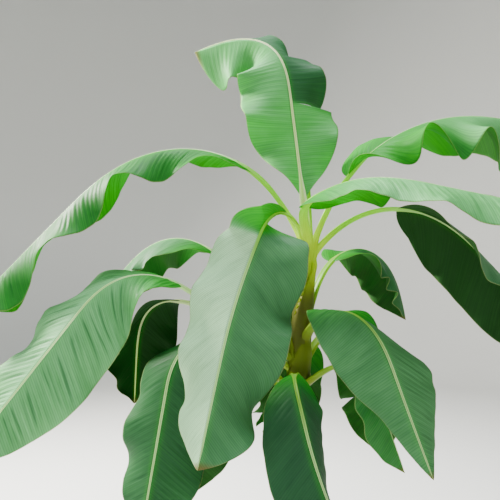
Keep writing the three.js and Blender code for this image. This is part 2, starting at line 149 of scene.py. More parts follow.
LEAF_ROWS = [
    dict(name="top", height=1.762, heading=118, offset=0, stalk=0.198, blade=1.4, width=0.5, rise=78,
         droop=-15, bend_from=0.48, bend_to=0.98, swing=45, swing_from=0.41, swing_to=0.95,
         roll=(-24, -21, -60), fold_left=(21, 5, -18), fold_right=(36, 1, -40),
         settle_left=(0.01, 0.25), settle_right=(0.02, 0.3), late_from=0.4, late_to=0.77,
         wide_left=1.04, wide_right=0.89, notch_left=(0.71, 0.09, 0.26), notch_right=(0.6, 0.13, 0.14),
         slant_left=-0.07, slant_right=-0.11, base_left=(0.37, 1.5), base_right=(0.31, 1.2),
         tip=(0.92, 2.5), wave_left=(16, 4, -0.08), wave_right=(15, 4, 0.23), bloom_left=0.55,
         bloom_right=0.5, young_bloom=0.9, pleat=0.4, sweep_left=0.1, sweep_right=0.1, age=0.1,
         shade_right=0.75, young=(0.37, 0.4), cream=1,
         tears=((-1, 0.385, 0.94, 14, 0.04), (-1, 0.6, 0.9, 14, 0.03))),
    dict(name="left_arching", height=1.76, heading=171, stalk=0.42, blade=1.685, width=0.5, rise=66,
         droop=-48, bend_from=-0.04, bend_to=0.72, swing=21, swing_from=0.17, swing_to=0.58,
         roll=(-22, 1, 6), fold_left=(19, -26, -36), fold_right=(-3, -14, -16), settle_left=(0.01, 0.2),
         settle_right=(0.02, 0.34), wide_left=0.76, wide_right=0.77, base_left=(0.25, 0.9),
         base_right=(0.26, 0.51), tip=(0.91, 1.7), wave_left=(19, 3.45, -0.22),
         wave_right=(23, 2.46, 0.49), bloom_left=0.1, bloom_right=0.1, pleat=1.2, age=0.4),
    dict(name="upper_right", height=1.76, heading=-9, stalk=0.354, blade=1.56, width=0.5, rise=76,
         droop=-40, bend_from=-0.15, bend_to=0.97, swing=9, roll=(-3, -5, 4), fold_left=(53, -24, -31),
         fold_right=(30, -31, -62), settle_left=(-0.01, 0.39), settle_right=(-0.02, 0.1),
         late_from=0.24, late_to=0.65, wide_left=0.99, wide_right=1.05, base_left=(0.24, 0.35),
         base_right=(0.27, 0.78), wave_left=(5, 3.63, 0.6), wave_right=(24, 5.56, 0.03), bloom_left=0.9,
         bloom_right=0.7, age=0.25, young=(0.2, 0.5)),
    dict(name="front_right", height=1.76, heading=251, stalk=0.2, blade=1.42, width=0.42, rise=60,
         droop=-16, bend_from=-0.1, bend_to=0.52, swing=82, swing_from=0.05, swing_to=0.2,
         fold_left=(-22, 10, -5), fold_right=(-22, -18, -20), settle_left=(0.2, 0.26),
         settle_right=(0, 0.2), base_left=(0.3, 0.5), base_right=(0.3, 0.5), bloom_left=0.3,
         bloom_right=0.65, age=0.2),
    dict(name="front_hanging", height=1.74, heading=225, stalk=0.119, blade=1.345, width=0.52, rise=74,
         droop=-61, bend_from=-0.02, bend_to=0.31, swing=24, swing_from=0.27, swing_to=0.77,
         roll=(-43, -34, -17), fold_left=(24, 13, -24), fold_right=(87, -11, -41),
         settle_left=(-0.09, 0.23), settle_right=(0.18, 0.24), late_from=0.29, late_to=0.91,
         start_left=0.18, wide_left=1.01, wide_right=0.89, slant_left=-0.18, slant_right=-0.1,
         base_left=(0.16, 1), base_right=(0.39, 2.22), tip=(0.68, 3), wave_left=(-21, 2.94, 0.88),
         wave_right=(5, 4.92, 1.96), bloom_left=0.45, bloom_right=1.3, pleat=0.6, sweep_left=0.9,
         sweep_right=0.9, age=0.75, young=(0.21, 0.245), shade_left=0.1),
    dict(name="right_arching", height=1.7, heading=5, stalk=0.5, blade=1.27, width=0.5, rise=58,
         droop=-47, bend_from=-0.1, bend_to=0.6, fold_left=(-50, -65, -60), fold_right=(10, -18, -30),
         bloom_left=0.3, bloom_right=0.5, age=0.95, young=(-0.2, -0.1)),
    dict(name="right_middle", height=1.34, heading=28, offset=0.2, stalk=0.37, blade=0.71, width=0.38,
         rise=70, droop=-75, bend_from=0.1, bend_to=0.95, base_left=(0.15, 0.5),
         fold_left=(30, -30, -50), fold_right=(10, -40, -50), bloom_left=0.4, bloom_right=0.2,
         pleat=0.3, age=0.8, flutter=0.2),
    dict(name="right_low", height=1.3, heading=305, stalk=0.17, blade=0.95, width=0.46, rise=53,
         droop=-69, bend_from=-0.06, bend_to=0.63, swing=25, swing_from=0.07, swing_to=0.97,
         roll=(-16, 35, 47), fold_left=(25, -24, -16), fold_right=(11, -10, -52), settle_left=(0, 0.14),
         settle_right=(-0.04, 0.26), late_from=0.37, late_to=0.87, wide_left=1.05, wide_right=0.99,
         slant_left=0.4, slant_right=-0.13, base_left=(0.25, 0.36), base_right=(0.27, 0.62),
         tip=(0.48, 1.2), wave_left=(-7, 1.79, 1.74), wave_right=(4, 3, 3.54), bloom_left=0.5,
         bloom_right=0.45, pleat=0.9, age=0.75),
    dict(name="front_low", height=1.09, heading=260, offset=0.2, stalk=0.173, blade=0.87, width=0.38,
         rise=28, droop=-64, bend_from=-0.02, bend_to=0.57, swing=66, swing_from=0.06, swing_to=0.95,
         roll=(7, 24, 28), fold_left=(-35, -53, -55), fold_right=(0, -14, -20), wide_left=0.85,
         wide_right=1.05, base_left=(0.26, 0.57), base_right=(0.37, 0.93), tip=(0.56, 2),
         wave_left=(1, 4, 2.16), wave_right=(1, 4, 3.72), bloom_left=0.2, bloom_right=0.15, age=0.95),
    dict(name="left_low", height=1.06, heading=197, stalk=0.38, blade=1.15, width=0.5, rise=41,
         droop=-80, bend_from=0.15, bend_to=0.55, swing=8, swing_from=0.25, swing_to=0.6,
         roll=(-12, -52, -58), start_left=0.08, base_left=(0.3, 0.5), base_right=(0.3, 0.5),
         fold_left=(0, -24, -34), fold_right=(-10, -16, -30), wide_right=0.85, bloom_left=0.15,
         bloom_right=0.22, age=0.85),
    dict(name="left_big", height=1.2, heading=193, stalk=0.64, blade=1.3, width=0.5, rise=33, droop=-52,
         bend_from=0.28, bend_to=0.62, swing=16, swing_from=0.25, swing_to=0.6, roll=(-10, -28, -34),
         fold_left=(10, -35, -40), fold_right=(0, -5, -15), bloom_left=0.7, bloom_right=0.85, pleat=2,
         age=0.5),
    dict(name="left_inner", height=1.15, heading=172, stalk=0.64, blade=0.75, width=0.42, rise=34,
         droop=-80, bend_from=0.28, bend_to=0.85, swing=-60, swing_from=0.35, swing_to=0.85,
         fold_left=(10, -25, -40), fold_right=(0, -25, -40), bloom_left=0, bloom_right=0, age=1,
         young=(-0.2, -0.1), cream=1),
    dict(name="left_back", height=1.33, heading=158, stalk=0.56, blade=0.95, width=0.42, rise=42,
         droop=-45, bend_from=0.3, bend_to=0.8, fold_left=(0, -30, -40), fold_right=(0, -30, -40),
         age=0.8, wear=1),
    dict(name="back_left", height=1.45, heading=112, stalk=0.33, blade=1.05, width=0.46, rise=58,
         droop=-72, bend_from=0, bend_to=0.6, age=0.6, wear=3),
    dict(name="back_right", height=1.18, heading=42, stalk=0.35, blade=0.9, width=0.42, rise=48,
         droop=-72, bend_from=0, bend_to=0.6, age=0.7, wear=2),
    dict(name="back_low", height=1.12, heading=92, stalk=0.32, blade=0.9, width=0.42, rise=40,
         droop=-75, bend_from=0, bend_to=0.6, age=0.8, wear=3),
    dict(name="back_high", height=1.75, heading=90, stalk=0.43, blade=1.15, width=0.37, rise=76,
         droop=-15, bend_from=0.1, bend_to=1, fold_left=(20, -20, -40), fold_right=(20, -20, -40),
         age=0.3, wear=2),
    dict(name="back_left_low", height=1, heading=140, stalk=0.38, blade=0.9, width=0.42, rise=42,
         droop=-75, bend_from=0.05, bend_to=0.6, age=0.85, wear=2),
    dict(name="small", height=1.08, heading=330, stalk=0.23, blade=0.56, width=0.26, rise=35, droop=-70,
         bend_from=0.1, bend_to=0.6, lengths=1, age=0.4),
]


def make_leaf(index, row):
    waves = {
        "wave_left": (WAVE_HEIGHT, WAVE_COUNT, WAVE_STEP_LEFT * index),
        "wave_right": (WAVE_HEIGHT, WAVE_COUNT, WAVE_STEP_RIGHT * index),
    }
    leaf = SimpleNamespace(**{**PLAIN_LEAF, **FINE_LEAF, **waves, **row, "index": index})
    random = np.random.default_rng(index)
    for _ in range(leaf.wear):
        side = random.choice((-1, 1))
        depth, lift, gap = random.uniform(TEAR_LEAST, TEAR_MOST)
        leaf.tears += ((side, random.uniform(*TEAR_STRETCH), depth, lift, gap),)
    return leaf


LEAVES = [make_leaf(index, row) for index, row in enumerate(LEAF_ROWS)]
print(len(LEAVES), "leaves with", sum(len(leaf.tears) for leaf in LEAVES), "tears")

# %% [markdown]
# The rule itself works on whole arrays of points at once. A plant bends and grows without kinks, so
# most changes from one value to another ease in and out.

# %% Gentle changes
def smooth(share):
    held = np.clip(share, 0, 1)
    return held * held * (3 - 2 * held)


def mix(start, end, share):
    return start + (end - start) * share


def stepped(share, start, end):
    return smooth((share - start) / (end - start))


def along_blade(values, share, settle, late):
    base, middle, tip = values
    return base + (middle - base) * stepped(share, *settle) + (tip - middle) * stepped(share, *late)


print("a fifth of the way through a change it has gone", round(float(smooth(0.2)), 2))

# %% [markdown]
# The stem leans a little more the higher it goes. It tapers evenly from foot to crown and flares at
# the ground.

# %% Shape of the stem
def stem_centre(height):
    share = np.asarray(height) / STEM_HEIGHT
    lean = STEM_LEAN_EARLY * share + (1 - STEM_LEAN_EARLY) * share * share
    return np.stack([STEM_LEAN * lean, np.zeros_like(share), np.asarray(height) + 0 * share], axis=-1)


def stem_radius(height):
    share = np.minimum(1, np.asarray(height) / STEM_HEIGHT)
    flare = STEM_FLARE * np.exp(-np.asarray(height) / STEM_FLARE_HEIGHT)
    return mix(STEM_FOOT_RADIUS, STEM_TOP_RADIUS, share) + flare


print("the stem is", round(2000 * float(stem_radius(0))), "mm thick at the ground")

# %% [markdown]
# The line of a leaf is added up from many short steps, each a little flatter than the last, which is
# how a cantilever under its own weight bends.

# %% Line of a leaf
def directions(pitch, yaw):
    along = np.stack([np.cos(pitch) * np.cos(yaw), np.cos(pitch) * np.sin(yaw), np.sin(pitch)], axis=-1)
    side = np.stack([-np.sin(yaw), np.cos(yaw), 0 * yaw], axis=-1)
    return along, side, np.cross(along, side)


def leaf_foot(leaf):
    heading = math.radians(leaf.heading)
    foot = stem_centre(min(leaf.height, STEM_HEIGHT))
    foot[:2] += leaf.offset * stem_radius(leaf.height) * np.array([math.cos(heading), math.sin(heading)])
    foot[2] = leaf.height
    return foot


def leaf_spine(leaf):
    length = leaf.stalk + leaf.blade
    share = np.linspace(0, 1, SPINE_STEPS + 1)
    bent = stepped(share, leaf.bend_from, leaf.bend_to)
    turned = stepped(share, leaf.swing_from, leaf.swing_to)
    pitch = np.radians(mix(leaf.rise, leaf.droop, bent))
    yaw = np.radians(leaf.heading + leaf.swing * turned)
    along, side, up = directions(pitch, yaw)
    steps = (along[1:] + along[:-1]) * length / SPINE_STEPS / 2
    point = leaf_foot(leaf) + np.vstack([np.zeros(3), np.cumsum(steps, axis=0)])
    return SimpleNamespace(distance=share * length, point=point, along=along, side=side, up=up)


def spine_at(leaf, distance):
    line = leaf.spine

    def read(values):
        return np.stack([np.interp(distance, line.distance, values[:, axis]) for axis in range(3)], axis=-1)

    return read(line.point), read(line.along), read(line.side), read(line.up)


for leaf in LEAVES:
    leaf.spine = leaf_spine(leaf)
print("highest point of a midrib", round(max(leaf.spine.point[:, 2].max() for leaf in LEAVES), 3), "m")

# %% [markdown]
# ## Wings
#
# A wing is the half of a blade on one side of the midrib. Its width grows in a round shoulder,
# stays even and runs out in a point. Real wings also flutter along their margins and sway as a whole.
# A noise texture with a Displace modifier could do that. A sum of a few sine waves with seeded phases
# is used instead, because it moves the margin by an angle, keeps the midrib still, and never repeats
# visibly.

# %% Shape of a wing
RIB_POINT_SHARE = 0.93  # from here to the tip the midrib runs out
RIB_POINT_WIDTH = 0.25  # the share of its width that is left at the tip
WING_ROOT = 0.8  # the wing starts inside the midrib, at this share of its half width
LONG_BLADE = 1.4  # flutter waves are counted on a blade this long
FLUTTER_HEIGHT = 1.1  # degrees
FLUTTER_FROM = 0.5
FLUTTER_WAVES = (7, 11, 17)
SWAY_HEIGHT = 3
SWAY_WAVES = (2, 3, 5)
DRIFT_SEEDS = dict(flutter=200, sway=400, crowding=600, depth=800)


def drift(share, seed, waves):
    random = np.random.default_rng(seed)
    total = 0 * share
    for wave in waves:
        total = total + np.sin(2 * math.pi * (wave * share + random.random())) / len(waves)
    return total


def wing_drift(leaf, side, use, share, waves):
    """Each wing has a drift of its own for each use."""
    return drift(share, 10 * leaf.index + side + DRIFT_SEEDS[use], waves)


def rib_half_width(share):
    narrowing = (STALK_END_HALF_WIDTH - RIB_BASE_HALF_WIDTH) * (1 - smooth(share / RIB_SETTLE))
    point = mix(1, RIB_POINT_WIDTH, stepped(share, RIB_POINT_SHARE, 1))
    return (mix(RIB_BASE_HALF_WIDTH, RIB_TIP_HALF_WIDTH, share) + narrowing) * point


def wing_size(leaf, side, size):
    return getattr(leaf, size + ("_left" if side > 0 else "_right"))


def wing_width(leaf, side, share):
    notch_at, notch_half, notch_depth = wing_size(leaf, side, "notch")
    base_share, base_power = wing_size(leaf, side, "base")
    tip_share, tip_power = leaf.tip
    start = wing_size(leaf, side, "start")
    notch = 1 - notch_depth * np.exp(-(((share - notch_at) / notch_half) ** 2))
    grown = np.clip((share - start) / (1 - start), 0, 1)
    base = (1 - (1 - np.minimum(1, grown / base_share)) ** 2) ** base_power
    spent = np.maximum(0, (grown - tip_share) / (1 - tip_share))
    tip = (1 - spent ** tip_power) ** TIP_ROUNDING
    width = leaf.width / 2 * wing_size(leaf, side, "wide") * notch * base * tip
    return np.maximum(rib_half_width(share), width)


WIDEST = max(leaf.width / 2 * max(leaf.wide_left, leaf.wide_right) for leaf in LEAVES)
print("widest wing", round(WIDEST, 3), "m")

# %% [markdown]
# A tear runs in from the margin along a side vein. Its two lips part: the one nearer the stem
# lifts and the other drops, and both fade back into the wing over about ten centimetres. With the
# tears, the rule for a point of a wing is whole: it goes out from the midrib, folded by an angle
# that adds the fold, the curl, the wave, the flutter, the sway and the tear.

# %% Tears and points of a wing
TEAR_FADE = 0.06  # share of the blade over which a lip settles back


def tear_shift(leaf, side, share, out):
    fold = 0 * share
    slide = 0 * share
    for tear_side, place, depth, lift, gap in leaf.tears:
        if tear_side != side:
            continue
        from_tear = share - place
        open_part = stepped(out, 1 - depth, 1)
        lip = -np.sign(from_tear) * open_part * np.exp(-np.abs(from_tear) / TEAR_FADE)
        fold = fold + lift * lip
        slide = slide - gap / 2 * lip
    return fold, slide


def wing_points(leaf, side, share, out, lobe):
    """Points of a wing: share runs from base to tip, out from midrib to margin, and lobe is the
    share that tells the two lips of a tear apart."""
    point, along, across, up = spine_at(leaf, leaf.stalk + share * leaf.blade)
    late = (leaf.late_from, leaf.late_to)
    roll = np.radians(along_blade(leaf.roll, share, ROLL_SETTLE, late))[:, None]
    level = across * np.cos(roll) + up * np.sin(roll)
    normal = up * np.cos(roll) - across * np.sin(roll)
    width = wing_width(leaf, side, share)
    root = WING_ROOT * rib_half_width(share)
    reach = root + out * (width - root)
    height, count, start = wing_size(leaf, side, "wave")
    wave = height * out * np.sin(2 * math.pi * (count * share + start))
    scaled = share * leaf.blade / LONG_BLADE
    loose = leaf.flutter * FLUTTER_HEIGHT * stepped(out, FLUTTER_FROM, 1)
    flutter = loose * wing_drift(leaf, side, "flutter", scaled, FLUTTER_WAVES)
    sway = SWAY_HEIGHT * out * wing_drift(leaf, side, "sway", share, SWAY_WAVES)
    torn, slide = tear_shift(leaf, side, lobe, out)
    fold = along_blade(wing_size(leaf, side, "fold"), share, wing_size(leaf, side, "settle"), late)
    angle = np.radians(fold + WING_CURL * out / 2 + wave + flutter + sway + torn)
    leaning = np.minimum(np.minimum(1, share / VEINS_START), (1 - share) / VEINS_STRAIGHTEN)
    lean = wing_size(leaf, side, "slant") * reach * leaning + slide
    outward = side * (root + (reach - root) * np.cos(angle))
    lifted = (reach - root) * np.sin(angle)
    return point + along * lean[:, None] + level * outward[:, None] + normal * lifted[:, None]


# %% [markdown]
# A banana wing is pleated like a paper fan: fine folds about 3 cm apart follow the side veins, and
# broader ridges about 7 cm apart lie under them. Both are sine waves over the distance at which a
# vein leaves the midrib. A seeded drift crowds them together here and there and lets their depth come
# and go. They are real relief, because grazing light would give a bump map away.

# %% Pleats
PLEAT_SPACING = 0.028
PLEAT_HEIGHT = 0.0021
RIDGE_SPACING = 0.07
RIDGE_HEIGHT = 0.0016
CROWDING = 0.35  # the share of a pleat by which it drifts
RIDGE_CROWDING = 1.5  # ridges drift by this many times that share of a ridge
CROWDING_WAVES = (3, 5, 8)
MEAN_DEPTH = 0.55
DEPTH_DRIFT = 0.45
DEPTH_WAVES = (6, 9, 14)
PLEATS_RISE = 0.25  # they grow over this share of the wing
PLEATS_FADE = 0.6  # and from here fade to the margin
MARGIN_PLEATS = 0.15
FULL_RELIEF = 0.005  # at this height the relief attribute is 1


def swept(leaf, side, share, out):
    """Distance along the blade to where the side vein through a point leaves the midrib."""
    return share * leaf.blade - wing_size(leaf, side, "sweep") * out * wing_width(leaf, side, share)


def pleats(leaf, side, share, out):
    crowding = CROWDING * wing_drift(leaf, side, "crowding", share, CROWDING_WAVES)
    along = swept(leaf, side, share, out)
    fine = np.sin(2 * math.pi * (along / PLEAT_SPACING + crowding))
    broad = np.sin(2 * math.pi * (along / RIDGE_SPACING + RIDGE_CROWDING * crowding))
    depth = MEAN_DEPTH + DEPTH_DRIFT * wing_drift(leaf, side, "depth", share, DEPTH_WAVES)
    middle = smooth(out / PLEATS_RISE) * mix(1, MARGIN_PLEATS, stepped(out, PLEATS_FADE, 1))
    return leaf.pleat * depth * middle * (PLEAT_HEIGHT * fine + RIDGE_HEIGHT * broad)


print("deepest pleat", round(1000 * max(leaf.pleat for leaf in LEAVES) * PLEAT_HEIGHT, 1), "mm")

# %% [markdown]
# The mesh of a blade starts as one flat grid. Its edges are split along the midrib, which makes two
# wings, and along each tear. After a split, two vertices share one place, and the faces that each
# still touches tell on which side of the cut it lies.

# %% Grid of a blade
ROW_SPACING = 0.005
COLUMNS = 20
ROW_CROWDING = 0.35  # rows stand closer at both ends, where the width changes fast
VERY_SMALL = 1e-6
SAME_LINE = 0.1  # share of a row within which an edge counts as on a line


def crowd_rows(place):
    even = (place + 1) / 2
    eased = (1 - np.cos(math.pi * even)) / 2
    return mix(even, eased, ROW_CROWDING)


def split_wings(bm, leaf, rows):
    bmesh.ops.split_edges(bm, edges=[e for e in bm.edges if all(abs(v.co.y) < VERY_SMALL for v in e.verts)])
    lines = np.linspace(-1, 1, rows + 1)
    snapped = []
    for side, place, depth, lift, gap in leaf.tears:
        line = lines[np.argmin(np.abs(crowd_rows(lines) - place))]
        snapped.append((side, crowd_rows(line), depth, lift, gap))
        on_line = [e for e in bm.edges if all(abs(v.co.x - line) < SAME_LINE / rows for v in e.verts)]
        torn = [e for e in on_line if all(side * v.co.y > 1 - depth for v in e.verts)]
        bmesh.ops.split_edges(bm, edges=torn)
    leaf.tears = snapped


def blade_mesh(leaf):
    rows = round(leaf.blade / ROW_SPACING)
    bm = bmesh.new()
    bmesh.ops.create_grid(bm, x_segments=rows, y_segments=2 * COLUMNS, size=1)
    split_wings(bm, leaf, rows)
    flat = np.array([v.co for v in bm.verts])
    middles = {face: face.calc_center_median() for face in bm.faces}
    centre = np.array([np.mean([middles[face][:2] for face in v.link_faces], axis=0) for v in bm.verts])
    return bm, flat, centre


print("a blade of 1.4 m has", round(LONG_BLADE / ROW_SPACING), "rows of", 2 * COLUMNS, "faces")

# %% [markdown]
# A finished grid becomes an object that is shaded smooth and has its materials in slots. A value for
# each point is stored as an attribute, which a material then reads by its name.

# %% Pieces and attributes
def new_piece(name, mesh_bm, materials):
    mesh = bpy.data.meshes.new(name)
    mesh_bm.to_mesh(mesh)
    mesh_bm.free()
    for material in materials:
        mesh.materials.append(material)
    for polygon in mesh.polygons:
        polygon.use_smooth = True
    piece = bpy.data.objects.new(name, mesh)
    bpy.context.scene.collection.objects.link(piece)
    return piece


def add_attribute(piece, name, values):
    attribute = piece.data.attributes.new(name, "FLOAT", "POINT")
    attribute.data.foreach_set("value", np.ascontiguousarray(values, np.float32))


# %% [markdown]
# Then the flat grid is bent onto the blade. Modifiers could bend it too, but the rule puts each point
# where the solid has it. The mesh carries what its finish needs to know: the UV map "veins" holds
# distances in metres along the midrib and out from it, and attributes hold the relief, the bloom,
# the age and how far the margin and the tip are. A Solidify modifier gives the blade its thickness
# and its second material, the underside.

# %% Mesh of a blade
BLADE_THICKNESS = 0.0015
# the age attribute is the blade's age with painted shade added
YOUNG_AGE = 0.1  # share of a blade's age that its young base has


def make_blade(leaf, materials):
    bm, flat, centre = blade_mesh(leaf)
    share = crowd_rows(flat[:, 0])
    lobe = crowd_rows(centre[:, 0])
    side = np.sign(centre[:, 1])
    out = np.abs(flat[:, 1])
    points = np.zeros((len(flat), 3))
    relief, width, vein, bloom, age = np.zeros((5, len(flat)))
    for wing in (1, -1):
        own = side == wing
        points[own] = wing_points(leaf, wing, share[own], out[own], lobe[own])
        relief[own] = pleats(leaf, wing, share[own], out[own])
        width[own] = wing_width(leaf, wing, share[own])
        vein[own] = swept(leaf, wing, share[own], out[own])
        grown = stepped(share[own], *leaf.young)
        shade = wing_size(leaf, wing, "shade")
        # the bloom holds the wax colour and the painted sheen that it carries
        bloom[own] = wing_size(leaf, wing, "bloom") * mix(leaf.young_bloom, 1 - shade, grown)
        # painted shade: shade darkens one wing by adding to its age
        age[own] = (leaf.age + shade) * mix(YOUNG_AGE, 1, grown)
    for vertex, point in zip(bm.verts, points):
        vertex.co = point
    bm.normal_update()
    for vertex, height in zip(bm.verts, relief):
        vertex.co += vertex.normal * height
    uv = bm.loops.layers.uv.new("veins")
    for face in bm.faces:
        for loop in face.loops:
            i = loop.vert.index
            loop[uv].uv = (vein[i], side[i] * out[i] * width[i])
    piece = new_piece(f"blade_{leaf.name}", bm, materials)
    add_attribute(piece, "relief", relief / FULL_RELIEF)
    # bloom carries wax and painted sheen, age carries the blade's age and painted shade
    add_attribute(piece, "bloom", bloom)
    add_attribute(piece, "age", age)
    add_attribute(piece, "from_margin", (1 - out) * width)
    add_attribute(piece, "from_tip", (1 - share) * leaf.blade)
    shell = piece.modifiers.new("thickness", "SOLIDIFY")
    shell.thickness = BLADE_THICKNESS
    shell.offset = 0
    shell.material_offset = 1
    shell.material_offset_rim = 1
    return piece


# %% [markdown]
# ## Stalks, midribs and leaf bases
#
# In a real banana leaf one long piece does three jobs. Low down it is a sheath that wraps the stem,
# above that a stalk with a channel along its upper side, and then the midrib. It could be made of
# three pieces with seams to hide. So it is one loft here: a crescent whose horns open from the narrow
# channel into a wide thin sheath.

# %% Crescent section
HORN_ANGLE = 112  # degrees from the underside to the channel's lip
LIP_WALL = 0.86
CHANNEL_FLOOR = 0.03
SHEATH_THICKNESS = 0.0035
SHEATH_EDGE_THICKNESS = 0.0008
SECTION_SIDES = 24


def crescent(turn):
    """Angle share from -1 to 1 and whether the point is on the outer curve."""
    outer = turn < 0.5
    share = np.where(outer, 4 * turn - 1, 3 - 4 * turn)
    return share, outer


def stalk_section(turn, half):
    share, outer = crescent(turn)
    angle = np.radians(HORN_ANGLE) * share
    lip = -STALK_FLATNESS * math.cos(math.radians(HORN_ANGLE))
    lip_side = math.sin(math.radians(HORN_ANGLE))
    side = np.where(outer, np.sin(angle), lip_side * LIP_WALL * share)
    up = np.where(outer, -STALK_FLATNESS * np.cos(angle), mix(CHANNEL_FLOOR, lip, share ** 2))
    return side * half, up * half


def sheath_section(turn, radius, half_angle):
    share, outer = crescent(turn)
    angle = half_angle * share
    wall = mix(SHEATH_THICKNESS, SHEATH_EDGE_THICKNESS, np.abs(share) ** 3)
    distance = np.where(outer, radius, radius - wall)
    return distance * np.sin(angle), -distance * np.cos(angle)


print("a stalk is", 2000 * STALK_FOOT_HALF_WIDTH, "mm wide at its foot")

# %% [markdown]
# Leaf bases overlap in the order in which they grew. A base that starts lower on the stem is older
# and lies outside the ones above it. The rank counts how many bases cover a base at a height, and
# each rank moves it one layer inwards. Bare bases that have lost their leaves wrap the lower stem.

# %% Order of the leaf bases
BARE_BASES = [
    SimpleNamespace(name="base_one", height=0.95, heading=250),
    SimpleNamespace(name="base_two", height=0.8, heading=20),
    SimpleNamespace(name="base_three", height=0.62, heading=150),
    SimpleNamespace(name="base_four", height=0.45, heading=290),
    SimpleNamespace(name="base_five", height=0.28, heading=75),
]
LAYER = 0.0014
LAYERS = 5  # deeper than this a base can't be seen, and ends
RANK_FADE = 0.05
END_SEARCH_STEPS = 200
BASE_HEIGHTS = sorted([leaf.height for leaf in LEAVES] + [base.height for base in BARE_BASES])


def rank(own_height, height):
    covers = [other for other in BASE_HEIGHTS if other < own_height]
    return sum((smooth((other - height) / RANK_FADE) for other in covers), 0 * height)


def sheath_radius(own_height, height):
    layer = LAYERS / 2 - rank(own_height, height)
    buried = smooth(rank(own_height, height) - LAYERS + 1)
    return stem_radius(height) + LAYER * layer - 2 * LAYER * buried


def sheath_end(own_height):
    heights = np.linspace(own_height, 0, END_SEARCH_STEPS)
    hidden = heights[rank(own_height, heights) > LAYERS]
    return float(hidden[0]) if len(hidden) else 0.0


print(len(BASE_HEIGHTS), "leaf bases wrap the stem")

# %% [markdown]
# A curve with a bevel would keep one section from end to end, so these pieces are lofts. A loft
# starts as a flat grid, one row of faces for each step along the piece. Its points are put on the
# rings, then the seam is merged and both ends are filled, so that the piece is a closed solid.

# %% Loft
def lofted(name, places, sides, place_points, material):
    """A closed tube: places are its ring positions and place_points gives its points."""
    bm = bmesh.new()
    bmesh.ops.create_grid(bm, x_segments=len(places) - 1, y_segments=sides, size=0.5)
    flat = np.array([v.co for v in bm.verts])
    ring = np.round((flat[:, 0] + 0.5) * (len(places) - 1)).astype(int)
    position = np.asarray(places)[ring]
    turn = flat[:, 1] + 0.5
    points = place_points(position, np.where(turn > 1 - VERY_SMALL, 0, turn))
    uv = bm.loops.layers.uv.new("streaks")
    foot = bm.verts.layers.float.new("from_foot")
    for face in bm.faces:
        for loop in face.loops:
            i = loop.vert.index
            loop[uv].uv = (position[i], turn[i])
    for vertex, point in zip(bm.verts, points):
        vertex.co = point
        vertex[foot] = position[vertex.index]
    bmesh.ops.remove_doubles(bm, verts=bm.verts, dist=VERY_SMALL)
    bmesh.ops.holes_fill(bm, edges=[e for e in bm.edges if e.is_boundary])
    bmesh.ops.recalc_face_normals(bm, faces=bm.faces)
    return new_piece(name, bm, [material])


# %% [markdown]
# A stalk runs from the hidden end of its sheath to the tip of the midrib. Its place is counted from
# its foot, where it leaves the stem, and is negative below it. Under the foot the stalk turns upright
# and is drawn into the stem, while its section opens into the sheath, and it swells a little there.

# %% Points of a stalk
UPRIGHT_LENGTH = 0.07  # below the foot the stalk turns upright over this length
DRAWN_IN = 0.5  # how far it is drawn in as it goes down, for a level stalk
BASE_SWELL = 0.45
SWELL_ABOVE = 0.06  # the swelling starts this far above the foot
SWELL_LENGTH = 0.15


def stalk_points(leaf, position, turn):
    length = leaf.stalk + leaf.blade
    point, along, side, up = spine_at(leaf, np.clip(position, 0, length))
    below = np.minimum(0, position)
    heading = math.radians(leaf.heading)
    pitch = np.radians(mix(leaf.rise, 90, smooth(-below / UPRIGHT_LENGTH)))
    _, low_side, low_up = directions(pitch, heading + 0 * pitch)
    outward = np.array([math.cos(heading), math.sin(heading), 0])
    drawn = DRAWN_IN * np.cos(pitch) * -below
    low_point = point - outward * drawn[:, None] + np.array([0, 0, 1]) * below[:, None]
    is_low = (position < 0)[:, None]
    point = np.where(is_low, low_point, point)
    side = np.where(is_low, low_side, side)
    up = np.where(is_low, low_up, up)
    blade_share = np.clip((position - leaf.stalk) / leaf.blade, 0, 1)
    stalk_half = mix(STALK_FOOT_HALF_WIDTH, STALK_END_HALF_WIDTH, np.clip(position / leaf.stalk, 0, 1))
    half = np.where(position < leaf.stalk, stalk_half, rib_half_width(blade_share))
    half = half * (1 + BASE_SWELL * smooth((SWELL_ABOVE - position) / SWELL_LENGTH))
    late = (leaf.late_from, leaf.late_to)
    roll = np.radians(along_blade(leaf.roll, blade_share, ROLL_SETTLE, late))
    roll = (roll * smooth((position - leaf.stalk / 2) / (leaf.stalk / 2)))[:, None]
    level = side * np.cos(roll) + up * np.sin(roll)
    normal = up * np.cos(roll) - side * np.sin(roll)
    across, over = stalk_section(turn, half)
    return point + level * across[:, None] + normal * over[:, None]


# %% [markdown]
# A sheath is narrow at its top and wraps the stem almost the whole way round further down. A real
# one is thick and full of air, but only its outside shows, so a thin shell is enough here.

# %% Points of a sheath
SHEATH_WRAP = (55, 160)  # half angle at the top and further down
SHEATH_WRAP_LENGTH = 0.35


def wrapped_points(base, height, turn, radius, half_angle):
    """Points of a sheath that lies round the stem and is open opposite its heading."""
    heading = math.radians(base.heading)
    outward = np.array([math.cos(heading), math.sin(heading), 0])
    sideways = np.array([-math.sin(heading), math.cos(heading), 0])
    across, over = sheath_section(turn, radius, half_angle)
    return stem_centre(height) + sideways * across[:, None] - outward * over[:, None]


def sheath_points(leaf, position, turn):
    height = np.maximum(0, leaf.height + np.minimum(0, position))
    wrap = np.radians(mix(*SHEATH_WRAP, smooth(-position / SHEATH_WRAP_LENGTH)))
    return wrapped_points(leaf, height, turn, sheath_radius(leaf.height, height), wrap)


# %% [markdown]
# One loft passes from the stalk's points to the sheath's just below the foot. Its rings stand close
# along the stalk, which bends, and further apart down the straight sheath.

# %% Mesh of a stalk
SHEATH_JOIN = 0.12  # length over which a stalk opens into its sheath
SHEATH_STEP = 0.03
STALK_STEP = 0.012


